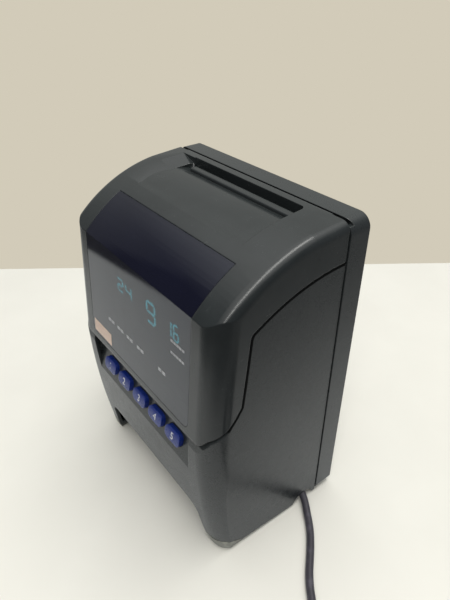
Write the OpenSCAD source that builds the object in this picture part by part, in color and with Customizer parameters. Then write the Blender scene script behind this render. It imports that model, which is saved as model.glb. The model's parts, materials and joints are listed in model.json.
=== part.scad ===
// Desk time clock: case with hinged hood, card slot, five keys, card feed, printing carriage and mains lead.
// Millimetres. X runs across, the front faces -Y, Z is up, the origin is on the table under the middle of the case.

/* [Case] */
// width over the rear case
case_w = 160; // [156:1:190]
// height from the table to the flat of the top
case_h = 216; // [214:1:240]
// depth from the rear face to the foremost line of the front
case_d = 107; // [106:1:125]
// wall of the case mouldings
wall = 2.5; // [2:0.1:3]
// depth of the rear case
rear_depth = 15; // [14:0.5:18]
// gap between neighbouring mouldings
seam_gap = 0.6; // [0.4:0.1:0.8]
// how far hood and lower case stand in from the rear case at each side
side_step = 0.5; // [0.2:0.1:1]
// rounding of the hood's long top edges
edge_r = 6; // [5:0.5:8]
// rounding of the rear case's upper corners
rear_edge_r = 8; // [6:0.5:10]
// rounding of the upright front corners
corner_r = 14; // [10:0.5:16]
// rounding of the rear case's lower corners
rear_corner_r = 5; // [4:0.5:8]
// how much larger the radius of the top's curve is than the depth in front of the flat
arc_over = 5; // [3:0.5:7]
// flat part of the top, measured from the rear face
top_flat_d = 38; // [34:1:42]
// lean of the window face
front_lean = 5.3; // [4:0.1:7]
// radius of the bowed lower front
front_arc_r = 500; // [400:10:700]
// height of the foremost line of the lower front
front_arc_z = 95; // [90:1:100]

/* [Seams and openings] */
// radius of the curved side seam under the hood
seam_arc_r = 118; // [110:1:130]
// drop from the top to the side seam at the rear
seam_drop = 23.5; // [20:0.5:28]
// height of the hood's lower front edge
hood_z = 98.5; // [97:0.5:102]
// half width of the smoked window
window_half = 58.5; // [50:0.5:61]
// height of the window's lower edge
window_z = 110; // [106:0.5:118]
// window's upper edge, measured back from the foremost front
window_back = 34.5; // [28:0.5:36]
// corner rounding of the window
window_r = 5; // [2:0.5:8]
// thickness of the window
window_t = 1.5; // [1.2:0.1:1.8]
// depth of the trough at the slot
trough_depth = 8; // [6.5:0.5:9]
// half width of the trough floor
trough_half = 52; // [51.5:0.5:54]
// width of the flare at the left end of the trough
flare_w = 12; // [8:0.5:14]
// depth of the flare where it meets the trough
flare_drop = 4; // [3:0.2:4.6]
// half width of the card slot
slot_half = 50; // [46:0.5:51]
// width of the card slot
slot_w = 5; // [4.6:0.1:5.6]
// left end of the lip in front of the slot, measured from the middle
lip_left = 43; // [42:0.5:49]
// width of the lip in front of the slot
lip_w = 4.5; // [3:0.5:6]
// height of the lip above the trough floor
lip_h = 5; // [3:0.2:6]
// height of the arch between the front legs
arch_z = 35; // [30:0.5:36]
// half width of the arch at its top
arch_top_half = 58; // [50:0.5:60]
// half width of the arch at the table
arch_foot_half = 61; // [60:0.5:66]
// thickness of the rear feet
foot_h = 1.8; // [1.5:0.1:2.5]
// height of the front feet, the pads under the legs
pad_h = 5; // [4:0.2:6]
// how far the pads stand in from the legs
pad_in = 1.5; // [1:0.1:2.5]

/* [Keys] */
// pitch of the five keys
key_pitch = 20; // [19.5:0.1:21]
// width of a key
key_w = 15.5; // [13:0.5:17]
// height of a key along the sloped pocket floor
key_l = 9.5; // [8:0.5:10.5]
// corner rounding of a key
key_r = 3.5; // [2:0.5:5]
// how far a key stands out of the pocket floor
key_rise = 3; // [2:0.2:4]
// travel of a key
key_travel = 1.2; // [0.8:0.1:1.5]
// slope of the pocket floor
pocket_slope = 15; // [12:0.5:18]
// height of the pocket's lower edge
pocket_z = 76; // [75:0.5:78]

/* [Mechanism] */
// half width of the card path
path_half = 44; // [42:0.5:44]
// drop from the top to the feed shaft
feed_drop = 98; // [96:1:102]
// radius of the rubber feed rollers
feed_r = 9.2; // [8.6:0.1:9.6]
// radius of the pinch rollers
pinch_r = 4.5; // [4:0.1:5]
// gap between feed and pinch rollers
nip = 0.6; // [0.4:0.1:1]
// radius of the feed shaft
shaft_r = 2.5; // [2:0.1:3]
// gear module
gear_m = 0.8; // [0.78:0.01:0.82]
// teeth of the feed gear
feed_teeth = 30; // [28:1:32]
// teeth of the motor pinion
pinion_teeth = 12; // [11:1:13]
// drop from the top to the lead screw
screw_drop = 70; // [68:0.5:71]
// radius of the lead screw
screw_r = 3; // [2.5:0.1:3.5]
// drop from the top to the carriage guide rod
rod_drop = 54; // [52:0.5:56]
// radius of the carriage guide rod
rod_r = 2.5; // [2:0.1:3]
// half width of the print carriage
carriage_half = 11; // [9:0.5:11.5]
// radial running clearance of shafts
run_gap = 0.05; // [0.03:0.01:0.08]

/* [Lead] */
// thickness of the mains lead
cord_d = 5.2; // [5:0.1:6]
// length of the strain relief
relief_l = 24; // [20:0.5:28]
// loops of each coil layer
coil_turns = 3.25; // [2.25:1:4.25]
// free radius inside the coil, at the middle of the lead
coil_r0 = 25.5; // [24:0.5:30]

/* [Hidden] */
$fn = 64;
eps = 0.01;
fit = 0.3;

yr = case_d / 2;
yf = -case_d / 2;
hw = case_w / 2 - side_step;
seam_y = yr - rear_depth;
arc_y = yr - top_flat_d;
top_arc_r = case_d - top_flat_d + arc_over;
feed_z = case_h - feed_drop;
screw_z = case_h - screw_drop;
rod_z = case_h - rod_drop;
print_z = rod_z - 7;
tube_z0 = case_h - 74;
tube_z1 = case_h - 39;
arc_z = case_h - top_arc_r;
lean_z = 100;
hinge_y = seam_y;
hinge_z = case_h - 3;
hinge_half = hw - 13;
seam_cz = case_h - seam_drop - seam_arc_r;
trough_z = case_h - trough_depth;
slot_y1 = seam_y - 4.5;
slot_y0 = slot_y1 - slot_w;
path_y = (slot_y0 + slot_y1) / 2;
lip_x0 = -lip_left;
floor_y = arc_y - 10.8;
floor_top = case_h - 3.3;
floor_drop = floor_top - trough_z;
floor_r = (pow(slot_y1 - floor_y, 2) + pow(floor_drop, 2)) / (2 * floor_drop);
base_z = arch_z + 1;
base_t = 2.5;
base_top = base_z + base_t;
front_in = yf + wall;
pocket_y = yf + front_arc_r - sqrt(pow(front_arc_r, 2) - pow(pocket_z - front_arc_z, 2));
slab_t = 2.2;
key_v = (hood_z - pocket_z) * 0.533;
flange_t = 1;
switch_n = -(slab_t + 0.3 + flange_t + 2.6 + key_travel + 0.2);
board_n = switch_n - 3;
board_t = 1.6;
plate_x = 53.5;
plate_t = 1.5;
guide_t = 1.6;
guide_x = plate_x - fit;
guide_z1 = trough_z - wall - 4;
chassis_y0 = yf + 41.5;
chassis_y1 = seam_y + 5;
chassis_top = case_h - 24;
feed_y = path_y - nip / 2 - feed_r;
pinch_y = path_y + nip / 2 + pinch_r;
roller_x = 22;
roller_l = 10;
feed_rp = gear_m * feed_teeth / 2;
pinion_rp = gear_m * pinion_teeth / 2;
mesh_a = 217;
motor_y = feed_y + (feed_rp + pinion_rp) * cos(mesh_a);
motor_z = feed_z + (feed_rp + pinion_rp) * sin(mesh_a);
gear_x = plate_x + plate_t + 1.3;
gear_t = 4;
screw_y = path_y - 25.5;
rod_y = path_y - 19.5;
head_y1 = slot_y0 - 2.6;
carriage_y1 = head_y1 - 8;
cassette_z = rod_z + 12;
board_y = yf + 25.5;
frame_y = yf + 18.5;
tube_y = yf + 10.5;
exit_y = yf + 81.5;
exit_z = 6.6;
exit_x = hw - 13.5;
anchor_x = exit_x - relief_l;
cord_r = cord_d / 2;

// lead: route of the free part, from the strain relief over the table to the coil
t_dir = [0.75, -0.66] / norm([0.75, -0.66]);
t_side = [-t_dir[1], t_dir[0]];
lie_z = cord_r + 0.1;
route = [[exit_x, exit_y, exit_z], [exit_x + 6, exit_y - 0.2, exit_z - 0.2], [exit_x + 12, exit_y - 1.3, exit_z - 0.9],
  [exit_x + 18, exit_y - 4, exit_z - 1.9], [exit_x + 25, exit_y - 8.6, lie_z + 0.7], [exit_x + 31, exit_y - 12.7, lie_z + 0.1],
  [exit_x + 37, exit_y - 17.6, lie_z], [exit_x + 43, exit_y - 23.5, lie_z], [exit_x + 49, exit_y - 30, lie_z],
  [exit_x + 55, exit_y - 36.6, lie_z], [exit_x + 62, exit_y - 43, lie_z], [exit_x + 70, exit_y - 49, lie_z],
  [exit_x + 80, exit_y - 57.4, lie_z]];
last = route[len(route) - 1];
entry = [last[0] + 40 * t_dir[0], last[1] + 40 * t_dir[1], cord_r + 1];
path_pts = concat(route, [[last[0] + 20 * t_dir[0], last[1] + 20 * t_dir[1], lie_z + 0.4], entry]);
coil_pitch = cord_d + 1;
layer_h = cord_d + 1;
coil_r1 = coil_r0 + coil_turns * coil_pitch;
coil_c = [entry[0] + coil_r1 * t_side[0], entry[1] + coil_r1 * t_side[1]];
coil_a0 = atan2(-t_side[1], -t_side[0]);
tail_l = 14;
z_low = entry[2];
z_high = z_low + layer_h;
boot_l = 22;
plug_l = 28;
plug_h = 2 * z_high - 0.4;

// shapes

// rectangle from radius a to b, its two outer corners rounded
module outer_section(a, b, half, r) {
  translate([a, -half]) square([b - r - a, 2 * half]);
  translate([b - r - eps, -(half - r)]) square([r + eps, 2 * (half - r)]);
  for (s = [-1, 1]) translate([b - r, s * (half - r)]) circle(r = r);
}

// profile in Y and Z drawn across X
module across(w) {
  rotate([90, 0, 90]) linear_extrude(height = w, center = true) children();
}

// outline in X and Z drawn from y0 to y1
module along(y0, y1) {
  translate([0, y1, 0]) rotate([90, 0, 0]) linear_extrude(height = y1 - y0) children();
}

module box(x0, x1, y0, y1, z0, z1) {
  translate([x0, y0, z0]) cube([x1 - x0, y1 - y0, z1 - z0]);
}

module rod_x(x0, x1, y, z, r) {
  translate([x0, y, z]) rotate([0, 90, 0]) cylinder(r = r, h = x1 - x0);
}

module rod_y(y0, y1, x, z, r) {
  translate([x, y1, z]) rotate([90, 0, 0]) cylinder(r = r, h = y1 - y0);
}

module round_rect(w, h, r) {
  square([w - 2 * r, h], center = true);
  square([w, h - 2 * r], center = true);
  for (sx = [-1, 1]) for (sy = [-1, 1]) translate([sx * (w / 2 - r), sy * (h / 2 - r)]) circle(r = r);
}

// outside of the hood moved in by i, open to the rear when past is set
module hood_form(i, past) {
  intersection() {
    union() {
      translate([0, arc_y, arc_z]) rotate([90, 0, 90]) rotate([0, 0, 90])
        rotate_extrude(angle = 90, $fn = 240) outer_section(1, top_arc_r - i, hw - i, edge_r - i);
      along(arc_y, seam_y - seam_gap / 2 + past) translate([0, case_h - i]) rotate(90)
        outer_section(-140, 0, hw - i, edge_r - i);
      box(-hw + i, hw - i, yf - 1, arc_y, 70, arc_z + 1.2);
    }
    translate([0, yf, lean_z]) rotate([-front_lean, 0, 0]) translate([0, 0, -60]) linear_extrude(height = 240)
      rotate(-90) outer_section(-150, -i, hw - i, corner_r - i);
  }
}

// soft facet low on each side, in by i
module side_facet(i) {
  for (m = [0, 1]) mirror([m, 0, 0])
    translate([hw - i, yf + 77, 0]) rotate([atan2(60, 75), 0, 0]) rotate([0, 0, -2])
      translate([0, -150, -60]) cube([40, 150, 260]);
}

// side view of the room under the sloped lower edge of the front legs, lowered by g
module under_sole(g) {
  polygon([[yf - 10, -5], [yf - 10, pad_h + 0.6 - g], [yf + 78, foot_h - 0.1 - g], [yf + 78, -5]]);
}

// outside of the lower case moved in by i, from height z0
module lower_form(i, z0, past) {
  difference() {
    union() {
      intersection() {
        translate([0, yf + front_arc_r, front_arc_z]) rotate([90, 0, 90]) rotate([0, 0, 173])
          rotate_extrude(angle = 20, $fn = 720) outer_section(front_arc_r - 130, front_arc_r - i, hw - i, corner_r - i);
        box(-hw, hw, yf - 1, seam_y - seam_gap / 2 + past, z0, 135);
      }
      box(-hw + i, hw - i, yf + 20, seam_y - seam_gap / 2 + past, z0, case_h - 20);
    }
    side_facet(i);
  }
}

// side view of everything below and behind the hood's seam, grown by g
module below_seam(g) {
  intersection() {
    translate([-0.8 * g, 0.8 * g]) polygon([[yr + 20, -20], [yf - 20, -20], [yf - 20, hood_z], [yf - 0.2, hood_z],
      [yf + 1.5, hood_z + 6.5], [yf + 4.7, hood_z + 12.5], [yf + 13.5, hood_z + 19], [yf + 18.9, hood_z + 25.5],
      [yf + 23, hood_z + 31.5], [yf + 25.9, hood_z + 53], [yf + 28.5, hood_z + 74.5], [yf + 30.6, hood_z + 78.5],
      [yf + 48, case_h + 20], [yr + 20, case_h + 20]]);
    union() {
      translate([seam_y - 1, seam_cz]) circle(r = seam_arc_r + g, $fn = 360);
      translate([seam_y - 1, -20]) square([60, seam_cz + seam_arc_r + g + 20]);
      translate([yf - 20, -20]) square([seam_y - yf + 20, seam_cz + 60]);
    }
  }
}

// front view of the window, grown by g
module window_outline(g) {
  zt = case_h + 10;
  translate([0, (window_z + zt) / 2]) round_rect(2 * (window_half + g), zt - window_z + 2 * g, window_r + g);
}

// trough from y0 to y1, grown by g sideways and down; its floor is a shallow curve that falls to the slot,
// its left end flares out to the top, and its rear corners are rounded by r
module trough(g, y0, y1, r) {
  half = trough_half + g;
  out = half + 2 * flare_w;
  low = case_h - flare_drop - g;
  difference() {
    union() {
      translate([0, 0, trough_z - g - 3]) linear_extrude(height = trough_depth + g + 7) {
        translate([-half, y0]) square([2 * half, y1 - r - y0]);
        translate([-half + r, y1 - r - eps]) square([2 * (half - r), r + eps]);
        for (s = [-1, 1]) translate([s * (half - r), y1 - r]) circle(r = r);
      }
      along(y0, y1 - 0.8) polygon([[-half + 1, low - 1 / 3], [half - 1, low - 1 / 3],
        [half - 1, low + 2 * flare_drop], [-out, low + 2 * flare_drop]]);
    }
    rod_x(-case_w - 1, case_w + 1, floor_y, floor_top - floor_r, floor_r - g);
  }
}

// case

module rear_outline(i) {
  bw = case_w / 2 - i;
  tr = rear_edge_r - i;
  br = rear_corner_r - i;
  translate([-bw, foot_h + i + br]) square([2 * bw, case_h - foot_h - 2 * i - br - tr]);
  translate([-bw + tr, case_h - i - tr - eps]) square([2 * (bw - tr), tr + eps]);
  translate([-bw + br, foot_h + i]) square([2 * (bw - br), br + eps]);
  for (s = [-1, 1]) translate([s * (bw - tr), case_h - i - tr]) circle(r = tr);
  for (s = [-1, 1]) translate([s * (bw - br), foot_h + i + br]) circle(r = br);
}

screw_at = [[-66, 60], [66, 60], [-66, 170], [66, 170]];
mount_x = 50;
mount_z = 150;

module rear_case() {
  color([0.36, 0.37, 0.36]) difference() {
    union() {
      difference() {
        along(seam_y + seam_gap / 2, yr) rear_outline(0);
        along(seam_y - 1, yr - wall) rear_outline(wall);
      }
      for (p = screw_at) rod_y(seam_y + 1, yr - eps, p[0], p[1], 4.5);
      for (s = [-1, 1]) intersection() {
        box(s * (hinge_half + 3.2) - 2.7, s * (hinge_half + 3.2) + 2.7, seam_y + 0.4, yr - 1, hinge_z - 6, case_h);
        along(seam_y, yr) rear_outline(0.4);
      }
    }
    intersection() {
      rod_x(-case_w, case_w, hinge_y, hinge_z, 3.45);
      box(-hinge_half - 0.4, hinge_half + 0.4, seam_y - 5, yr, 0, case_h + 5);
    }
    for (s = [-1, 1]) intersection() {
      rod_x(-case_w, case_w, hinge_y, hinge_z, 3.45);
      box(s * (hinge_half + 8) - 8.2, s * (hinge_half + 8) + 8.2, seam_y - 5, yr, hinge_z - 5, case_h + 5);
      box(-case_w, case_w, seam_y - 5, yr, hinge_z - 0.2, case_h + 5);
    }
    across(case_w + 20) polygon([[hinge_y + 0.5, hinge_z + 2.55], [hinge_y + 1.85, hinge_z + 2.55],
      [hinge_y + 2.4, hinge_z + 3.1], [hinge_y + 0.5, hinge_z + 3.1]]);
    rod_x(-hinge_half - 5.6, hinge_half + 5.6, hinge_y, hinge_z, 1.22);
    for (p = screw_at) {
      rod_y(seam_y, yr + 1, p[0], p[1], 1.6);
      rod_y(yr - 2.2, yr + 1, p[0], p[1], 3.2);
    }
    for (s = [-1, 1]) rod_y(yr - wall - 1, yr + 1, s * mount_x, mount_z, 2.25);
    for (k = [0 : 8]) box(-32, 32, yr - wall - 1, yr + 1, 76 + 6 * k, 78.4 + 6 * k);
  }
}

module arch_outline() {
  r = 9;
  a = [for (k = [0 : 6]) [arch_top_half - r + r * sin(15 * k), arch_z - r + r * cos(15 * k)]];
  polygon(concat([[-arch_foot_half, -1]], [for (k = [6 : -1 : 0]) [-a[k][0], a[k][1]]], a, [[arch_foot_half, -1]]));
}

// lays something drawn in X and up-slope V onto the pocket floor, N out of the floor
module on_pocket(n) {
  translate([0, pocket_y, pocket_z]) rotate([90 - pocket_slope, 0, 0]) translate([0, 0, n]) children();
}

post_at = [for (v = [8.7, -8.7]) for (s = [-1, 1]) [s * 50, key_v + v]];
boss_y = [yf + 25, seam_y - 14];

module lower_case() {
  color([0.34, 0.36, 0.35]) difference() {
    union() {
      difference() {
        lower_form(0, foot_h, 0);
        lower_form(wall, -5, 20);
      }
      intersection() {
        lower_form(0.5, foot_h, 0);
        union() {
          for (s = [-1, 1]) box(s * (hw - 5) - 6, s * (hw - 5) + 6, yf + 20, seam_y - 1, base_top, base_top + 6);
          for (s = [-1, 1]) box(s * (hw - 10) - 12, s * (hw - 10) + 12, yf, yf + 34, foot_h, pad_h + wall + 0.6);
          for (s = [-1, 1]) box(s * 61.5 - 1.5, s * 61.5 + 1.5, yf, yf + 9, pocket_z - 5, hood_z + 2);
          for (p = screw_at) rod_y(seam_y - 14, seam_y - seam_gap / 2, p[0], p[1], 4.5);
          for (p = screw_at) box(p[0] > 0 ? p[0] : -hw, p[0] > 0 ? hw : p[0], seam_y - 14, seam_y - 2, p[1] - 2, p[1] + 2);
        }
      }
      intersection() {
        on_pocket(-slab_t) translate([-62.5, -5]) cube([125, 34, slab_t]);
        lower_form(0.5, foot_h, 0);
      }
      for (p = post_at) on_pocket(board_n) translate(p) cylinder(r = 2.6, h = -board_n - slab_t + eps);
    }
    across(case_w + 20) difference() {
      translate([yf - 10, 50]) square([case_d + 40, case_h]);
      below_seam(0);
    }
    along(yf - 5, yf + 40) arch_outline();
    difference() {
      along(yf - 5, yf + 20) polygon([[-57, pocket_z], [57, pocket_z], [60, hood_z + 6], [-60, hood_z + 6]]);
      on_pocket(-20) translate([-80, -20]) cube([160, 80, 20]);
    }
    for (k = [-2 : 2]) on_pocket(-slab_t - 1) translate([k * key_pitch, key_v]) linear_extrude(height = slab_t + 2)
      round_rect(key_w + 2 * fit, key_l + 2 * fit, key_r + fit);
    for (s = [-1, 1]) for (y = boss_y) translate([s * (hw - 6.5), y, base_top - 1]) cylinder(r = 1.42, h = 6);
    for (p = screw_at) rod_y(seam_y - 13, seam_y + 1, p[0], p[1], 1.42);
    rod_x(hw - 12, hw + 10, exit_y - 1.8, -0.5, 9.8);
    across(case_w + 20) under_sole(0);
  }
}

module base_plate() {
  color([0.2, 0.21, 0.21]) difference() {
    union() {
      difference() {
        translate([0, 0, base_z]) linear_extrude(height = base_t) rotate(-90)
          outer_section(-seam_y + 1, -yf - 7.5, hw - wall - fit - 0.9, corner_r);
        for (s = [-1, 1]) for (y = boss_y) translate([s * (hw - 6.5), y, base_z - 1]) cylinder(r = 1.7, h = 6);
      }
      box(anchor_x - 4, anchor_x - 0.5, exit_y - 9, exit_y + 6, 1.2, base_z + eps);
    }
    rod_x(anchor_x - 6, anchor_x + 1, exit_y, exit_z, 4);
  }
}

module case_screws() {
  color([0.6, 0.6, 0.62]) for (p = screw_at) {
    rod_y(seam_y - 12, yr - 2.2 + eps, p[0], p[1], 1.4);
    difference() {
      rod_y(yr - 2.2, yr - 0.4, p[0], p[1], 2.9);
      box(p[0] - 2, p[0] + 2, yr - 1.2, yr, p[1] - 0.4, p[1] + 0.4);
      box(p[0] - 0.4, p[0] + 0.4, yr - 1.2, yr, p[1] - 2, p[1] + 2);
    }
  }
}

module base_screws() {
  color([0.6, 0.6, 0.62]) for (s = [-1, 1]) for (y = boss_y) translate([s * (hw - 6.5), y, 0]) {
    translate([0, 0, base_z - 1.8]) cylinder(r = 2.8, h = 1.8);
    translate([0, 0, base_z - eps]) cylinder(r = 1.4, h = base_t + 4.5);
  }
}

module rubber_feet() {
  color([0.08, 0.08, 0.08]) for (s = [-1, 1]) {
    intersection() {
      lower_form(pad_in, 0, 0);
      box(s * (hw - 8.5) - 8, s * (hw - 8.5) + 8, yf, yf + 27, 0, pad_h + 2);
      across(case_w + 20) under_sole(0.05);
    }
    translate([s * 58, yr - 7.2, 0]) cylinder(r = 5, h = foot_h);
  }
}

module hinge_pins() {
  color([0.7, 0.7, 0.72]) for (s = [-1, 1]) rod_x(s > 0 ? hinge_half - 8 : -hinge_half - 5.4,
    s > 0 ? hinge_half + 5.4 : -hinge_half + 8, hinge_y, hinge_z, 1.2);
}

// hood and window

module hood() {
  color([0.35, 0.37, 0.36]) difference() {
    union() {
      difference() {
        hood_form(0, 0);
        hood_form(wall, 20);
      }
      intersection() {
        hood_form(0, 0);
        trough(wall, yf + 24, seam_y, 2);
      }
      intersection() {
        difference() {
          hood_form(wall - eps, 0);
          hood_form(wall + 1.5, 20);
        }
        along(yf - 5, yf + window_back + 3) difference() {
          window_outline(3);
          window_outline(-2.5);
        }
      }
      rod_x(-hinge_half, hinge_half, hinge_y, hinge_z, 2.9);
      box(-hinge_half, hinge_half, seam_y - 5, hinge_y - 0.2, hinge_z - 3.2, case_h);
    }
    across(case_w + 20) below_seam(seam_gap + 0.4);
    along(yf - 5, yf + window_back + fit) window_outline(0.2);
    trough(0, yf + 20, slot_y1, 3.5);
    along(slot_y0, slot_y1) translate([0, trough_z]) square([2 * slot_half, 30], center = true);
    for (s = [-1, 1]) rod_x(s > 0 ? hinge_half - 9 : -hinge_half - 9, s > 0 ? hinge_half + 9 : -hinge_half + 9,
      hinge_y, hinge_z, 1.2 + run_gap);
    for (s = [-1, 1]) box(s * (hinge_half + 4) - 3.9, s * (hinge_half + 4) + 3.9, seam_y - 1.8, seam_y + 5,
      hinge_z - 7, hinge_z + 1.7);
  }
  color([0.35, 0.37, 0.36]) intersection() {
    union() {
      box(lip_x0, slot_half, slot_y0 - lip_w, slot_y0, trough_z - 0.6, trough_z + lip_h - 1.5);
      box(lip_x0, slot_half, slot_y0 - lip_w + 1.5, slot_y0, trough_z, trough_z + lip_h);
      rod_x(lip_x0, slot_half, slot_y0 - lip_w + 1.5, trough_z + lip_h - 1.5, 1.5);
    }
    box(-case_w, case_w, slot_y0 - lip_w, slot_y0, trough_z - 0.6, case_h);
  }
}

module window() {
  color([0.12, 0.13, 0.2]) intersection() {
    difference() {
      hood_form(0, 0);
      hood_form(window_t, 20);
    }
    along(yf - 5, yf + window_back) window_outline(0);
  }
}

// keys

module key_cap(k) {
  color([0.13, 0.2, 0.5]) translate([0, 0, 0]) {
    intersection() {
      on_pocket(-slab_t - 1) translate([k * key_pitch, key_v]) linear_extrude(height = slab_t + 1 + key_rise)
        round_rect(key_w, key_l, key_r);
      on_pocket(key_rise - 24) translate([k * key_pitch - key_w, key_v, 0]) rotate([0, 90, 0])
        cylinder(r = 24, h = 2 * key_w, $fn = 180);
    }
    on_pocket(-slab_t - 0.3 - flange_t) translate([k * key_pitch, key_v]) linear_extrude(height = flange_t)
      round_rect(key_w + 1.8, key_l + 2, key_r);
    on_pocket(-slab_t - 0.3 - flange_t - 2.6) translate([k * key_pitch, key_v, 0]) cylinder(r = 2.5, h = 2.7);
  }
}

module key_1() { key_cap(-2); }
module key_2() { key_cap(-1); }
module key_3() { key_cap(0); }
module key_4() { key_cap(1); }
module key_5() { key_cap(2); }

module key_board() {
  color([0.1, 0.35, 0.2]) on_pocket(board_n - board_t) translate([-56, key_v - 12]) cube([112, 23.6, board_t]);
}

module key_switches() {
  color([0.12, 0.12, 0.13]) for (k = [-2 : 2]) on_pocket(board_n) translate([k * key_pitch, key_v, 0]) {
    translate([-3, -3, 0]) cube([6, 6, 2]);
    cylinder(r = 1.7, h = switch_n - board_n);
  }
}

module front_frame() {
  color([0.22, 0.23, 0.23]) {
    difference() {
      box(-57, 57, frame_y, frame_y + 1.5, base_top, tube_z1 + 4);
      box(-46, 46, frame_y - 1, frame_y + 3, hood_z + 3.5, tube_z0 - 12);
      box(-46, 46, frame_y - 1, frame_y + 3, base_top + 6, 64);
    }
    for (s = [-1, 1]) for (z = [tube_z0 + 2, tube_z1 - 3]) rod_y(frame_y - 2, frame_y + eps, s * 50, z, 2.5);
    for (s = [-1, 1]) box(s * 52 - 4, s * 52 + 4, frame_y, frame_y + 5, base_top, base_top + 3);
  }
}

module display_board() {
  color([0.1, 0.35, 0.2]) box(-54, 54, frame_y - 3.6, frame_y - 2, tube_z0 - 4, tube_z1 + 3);
}

module display_tube() {
  color([0.1, 0.14, 0.15]) difference() {
    box(-50, 50, tube_y, frame_y - 3.7, tube_z0, tube_z1);
    box(-46, 46, tube_y - 1, tube_y + 0.4, tube_z0 + 5, tube_z1 - 5);
  }
}

// card path and chassis

module chassis() {
  color([0.62, 0.63, 0.64]) difference() {
    union() {
      box(-plate_x - plate_t, plate_x + plate_t, chassis_y0, seam_y - 2, base_top, base_top + plate_t);
      for (s = [-1, 1]) box(s > 0 ? plate_x : -plate_x - plate_t, s > 0 ? plate_x + plate_t : -plate_x, chassis_y0,
        chassis_y1, base_top, chassis_top);
    }
    rod_x(-case_w, case_w, feed_y, feed_z, shaft_r + 1.5);
    rod_x(-case_w, case_w, pinch_y, feed_z, 1.5 + run_gap);
    rod_x(-case_w, case_w, rod_y, rod_z, rod_r + 0.02);
    rod_x(-case_w, case_w, screw_y, screw_z, screw_r + 1.5);
    rod_x(0, case_w, motor_y, motor_z, 6.4);
    rod_x(-case_w, case_w, chassis_y0 + 12, 86, 8);
    rod_x(-case_w, case_w, chassis_y0 + 14, 60, 9);
  }
}

module card_guide_front() {
  color([0.66, 0.67, 0.68]) difference() {
    box(-guide_x, guide_x, slot_y0 - guide_t - 0.2, slot_y0 - 0.2, base_top + plate_t, guide_z1);
    for (s = [-1, 1]) box(s * roller_x - roller_l / 2 - 1.5, s * roller_x + roller_l / 2 + 1.5, slot_y0 - 6, slot_y0 + 1,
      feed_z - feed_r - 1, feed_z + feed_r + 1);
    box(-path_half + 2, path_half - 2, slot_y0 - 6, slot_y0 + 1, print_z - 9, print_z + 9);
    box(-4, 4, slot_y0 - 6, slot_y0 + 1, 72, 82);
  }
}

module card_guide_rear() {
  color([0.66, 0.67, 0.68]) difference() {
    union() {
      box(-guide_x, guide_x, slot_y1 + 0.2, slot_y1 + 0.2 + guide_t, base_top + plate_t, guide_z1);
      for (s = [-1, 1]) box(s > 0 ? path_half : -guide_x, s > 0 ? guide_x : -path_half, slot_y0, slot_y1 + 0.3,
        base_top + plate_t, guide_z1);
      box(-path_half - 1, path_half + 1, slot_y0, slot_y1 + 0.3, base_top + plate_t, base_top + 14);
    }
    for (s = [-1, 1]) box(s * roller_x - roller_l / 2 - 1.5, s * roller_x + roller_l / 2 + 1.5, slot_y1, slot_y1 + 6,
      feed_z - pinch_r - 2, feed_z + pinch_r + 2);
    box(-guide_x - 1, guide_x + 1, pinch_y - 1.5 - fit, slot_y1 + 6, feed_z - 1.5 - fit, feed_z + 1.5 + fit);
    box(-path_half + 3, path_half - 3, slot_y1, slot_y1 + 6, print_z - 8, print_z + 8);
  }
}

module platen() {
  color([0.1, 0.1, 0.1]) {
    box(-path_half + 3.3, path_half - 3.3, slot_y1 + 0.3, slot_y1 + 4.4, print_z - 7.7, print_z + 7.7);
    box(-path_half - 2, path_half + 2, slot_y1 + 0.2 + guide_t, slot_y1 + 4.4, print_z - 7.7, print_z + 7.7);
  }
}

module shaft_bushes() {
  color([0.75, 0.6, 0.3]) for (s = [-1, 1]) {
    difference() {
      rod_x(s * (plate_x + plate_t / 2) - 1.3, s * (plate_x + plate_t / 2) + 1.3, feed_y, feed_z, shaft_r + 1.48);
      rod_x(-case_w, case_w, feed_y, feed_z, shaft_r + run_gap);
    }
  }
  color([0.75, 0.6, 0.3]) difference() {
    rod_x(plate_x + plate_t / 2 - 1.3, plate_x + plate_t / 2 + 1.3, screw_y, screw_z, screw_r + 1.48);
    rod_x(-case_w, case_w, screw_y, screw_z, screw_r + run_gap);
  }
}

// involute spur gear in Y and Z; a turns a tooth towards that angle
function inv_deg(r, rb) = let (t = sqrt(max(pow(r / rb, 2) - 1, 0))) t * 180 / PI - atan(t);
function half_deg(r, n) = let (rp = gear_m * n / 2, rb = rp * cos(20))
  90 / n + inv_deg(rp, rb) - inv_deg(max(r, rb), rb) - 0.06 / rp * 180 / PI;
function tooth(n, k) = let (rp = gear_m * n / 2, r0 = rp - 1.2 * gear_m, r1 = rp + 0.85 * gear_m,
  rr = [r0, rp - 0.45 * gear_m, rp, rp + 0.45 * gear_m, r1], c = 360 * k / n)
  concat([for (r = rr) [r * cos(c - half_deg(r, n)), r * sin(c - half_deg(r, n))]],
    [for (j = [4 : -1 : 0]) [rr[j] * cos(c + half_deg(rr[j], n)), rr[j] * sin(c + half_deg(rr[j], n))]]);

module spur(x, y, z, n, a, t) {
  translate([x, y, z]) rotate([90, 0, 90]) rotate(a) linear_extrude(height = t)
    polygon([for (k = [0 : n - 1]) each tooth(n, k)]);
}

module feed_shaft() {
  color([0.72, 0.73, 0.75]) rod_x(-plate_x - plate_t - 2.5, gear_x + gear_t + 1, feed_y, feed_z, shaft_r);
}

module feed_rollers() {
  color([0.09, 0.09, 0.09]) for (s = [-1, 1]) difference() {
    rod_x(s * roller_x - roller_l / 2, s * roller_x + roller_l / 2, feed_y, feed_z, feed_r);
    rod_x(-case_w, case_w, feed_y, feed_z, shaft_r + 0.02);
  }
}

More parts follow.
